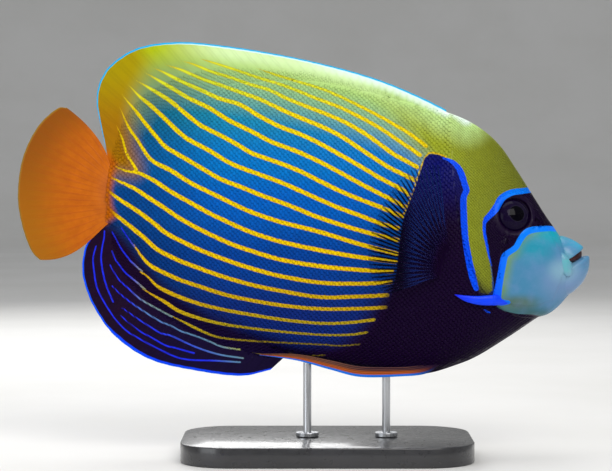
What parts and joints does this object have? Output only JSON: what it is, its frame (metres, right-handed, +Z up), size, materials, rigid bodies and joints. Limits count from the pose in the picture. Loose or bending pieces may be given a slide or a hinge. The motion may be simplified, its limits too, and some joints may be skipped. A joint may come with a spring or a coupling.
{
  "type": "emperor angelfish model",
  "caption": "Life-size model of a full-grown emperor angelfish: deep flat body, long dorsal and anal fins, spread pectoral fins, cheek spines and small mouth, on a plain stand.",
  "frame": {"origin": "on the floor, under the middle of the whole model", "axes": "+X towards the nose, +Y towards the fish's left, +Z up; the fish points down by a few degrees, as in the picture"},
  "size_m": [0.347, 0.108, 0.2516],
  "materials": {
    "flank_skin": "satin",
    "head_skin": "satin",
    "lips": "satin",
    "eye": "gloss",
    "dorsal_fin": "satin",
    "anal_fin": "satin",
    "tail_fin": "satin",
    "pectoral_fin": "satin",
    "pelvic_fin": "satin",
    "stand_base": "satin",
    "stand_rod": "brushed"
  },
  "bodies": {
    "root": {"trunk": "flank_skin", "tail_stalk": "flank_skin", "head": "head_skin", "upper_lip": "lips", "lower_lip": "lips", "eye_left": "eye", "eye_right": "eye", "dorsal_fin": "dorsal_fin", "anal_fin": "anal_fin", "tail_fin": "tail_fin", "pectoral_fin_left": "pectoral_fin", "pectoral_fin_right": "pectoral_fin", "pelvic_fin_left": "pelvic_fin", "pelvic_fin_right": "pelvic_fin", "stand_base": "stand_base", "stand_rod_front": "stand_rod", "stand_rod_rear": "stand_rod"}
  },
  "joints": []
}
